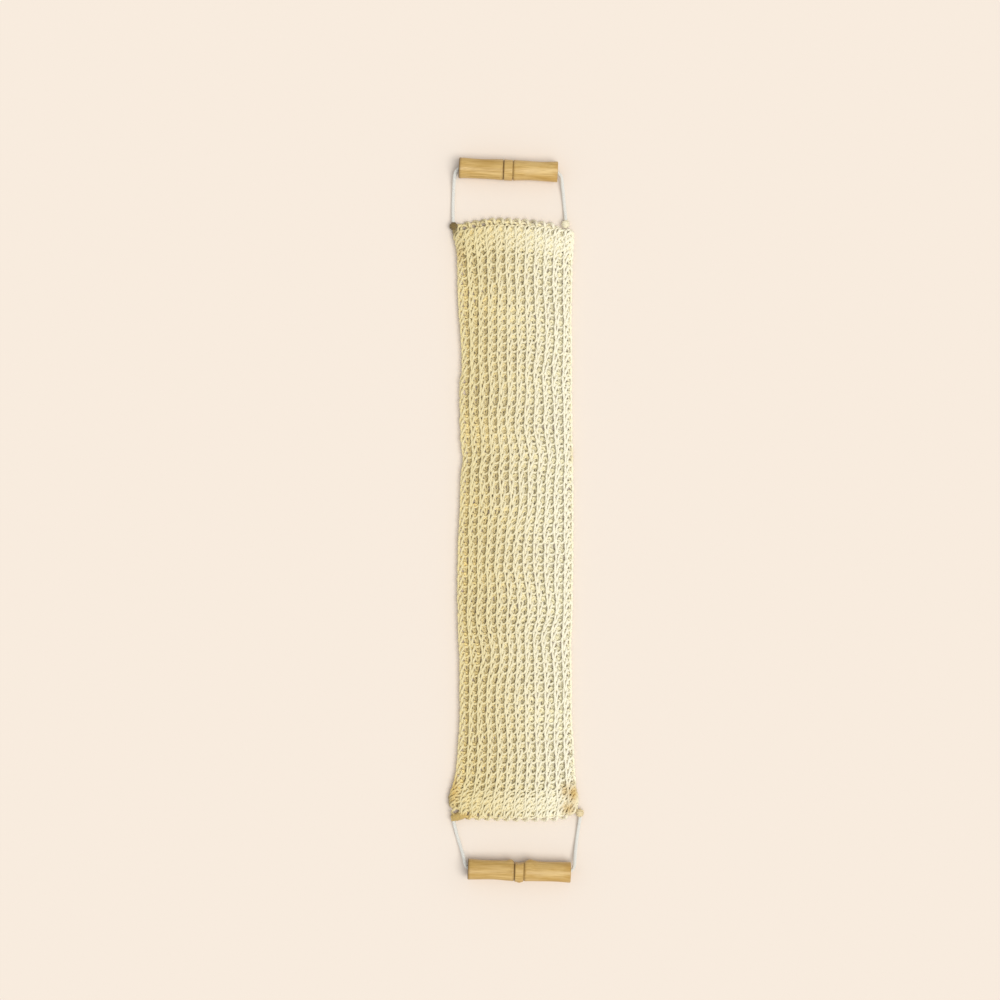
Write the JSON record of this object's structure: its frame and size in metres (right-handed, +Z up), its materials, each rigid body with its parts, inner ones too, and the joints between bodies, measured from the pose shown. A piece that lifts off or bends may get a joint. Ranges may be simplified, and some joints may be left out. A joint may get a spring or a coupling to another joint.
{
  "type": "back scrubber strap",
  "caption": "Openwork back scrubber strap, a plant-fibre knitted tube pulled flat, with a turned wooden handle on a cord loop at each end.",
  "frame": {"origin": "on the surface that the strap lies on, below the middle of its footprint", "axes": "+Z up from the surface, +Y along the strap towards the upper handle, +X across the strap"},
  "size_m": [0.1053, 0.5589, 0.0168],
  "materials": {
    "knit_yarn": "coarse undyed plant-fibre yarn",
    "lashing_yarn": "coarse brown plant-fibre yarn",
    "cord": "white braided cord",
    "wood": "smooth turned wood, satin"
  },
  "bodies": {
    "strap_middle": {"strap_middle": "knit_yarn"},
    "strap_upper": {"strap_upper": "knit_yarn"},
    "strap_upper_end": {"strap_upper_end": "knit_yarn", "upper_left_lashing": "lashing_yarn", "upper_right_lashing": "lashing_yarn", "upper_closing_seam": "knit_yarn"},
    "upper_loop": {"upper_cord": "cord"},
    "upper_handle": {"upper_handle": "wood"},
    "strap_lower": {"strap_lower": "knit_yarn"},
    "strap_lower_end": {"strap_lower_end": "knit_yarn", "lower_left_lashing": "lashing_yarn", "lower_right_lashing": "lashing_yarn", "lower_closing_seam": "knit_yarn"},
    "lower_loop": {"lower_cord": "cord"},
    "lower_handle": {"lower_handle": "wood"}
  },
  "joints": [
    {"name": "upper_bend", "type": "hinge", "parent": "strap_middle", "child": "strap_upper", "pos_m": [0, 0.046, 0.008], "axis": [1, 0, 0], "range_deg": [0, 60]},
    {"name": "upper_end_bend", "type": "hinge", "parent": "strap_upper", "child": "strap_upper_end", "pos_m": [0, 0.138, 0.008], "axis": [1, 0, 0], "range_deg": [0, 60]},
    {"name": "upper_loop_swing", "type": "hinge", "parent": "strap_upper_end", "child": "upper_loop", "pos_m": [-0.0489, 0.2271, 0.004], "axis": [0.9999, 0.0173, 0], "range_deg": [0, 135]},
    {"name": "upper_handle_spin", "type": "hinge", "parent": "upper_loop", "child": "upper_handle", "pos_m": [-0.0064, 0.27, 0.008], "axis": [0.9992, -0.041, 0], "continuous": true},
    {"name": "lower_bend", "type": "hinge", "parent": "strap_middle", "child": "strap_lower", "pos_m": [0, -0.046, 0.008], "axis": [-1, 0, 0], "range_deg": [0, 60]},
    {"name": "lower_end_bend", "type": "hinge", "parent": "strap_lower", "child": "strap_lower_end", "pos_m": [0, -0.138, 0.008], "axis": [-1, 0, 0], "range_deg": [0, 60]},
    {"name": "lower_loop_swing", "type": "hinge", "parent": "strap_lower_end", "child": "lower_loop", "pos_m": [-0.0489, -0.2295, 0.004], "axis": [-0.9995, -0.0316, 0], "range_deg": [0, 135]},
    {"name": "lower_handle_spin", "type": "hinge", "parent": "lower_loop", "child": "lower_handle", "pos_m": [0.002, -0.2703, 0.0084], "axis": [0.9996, -0.0297, 0], "continuous": true}
  ]
}
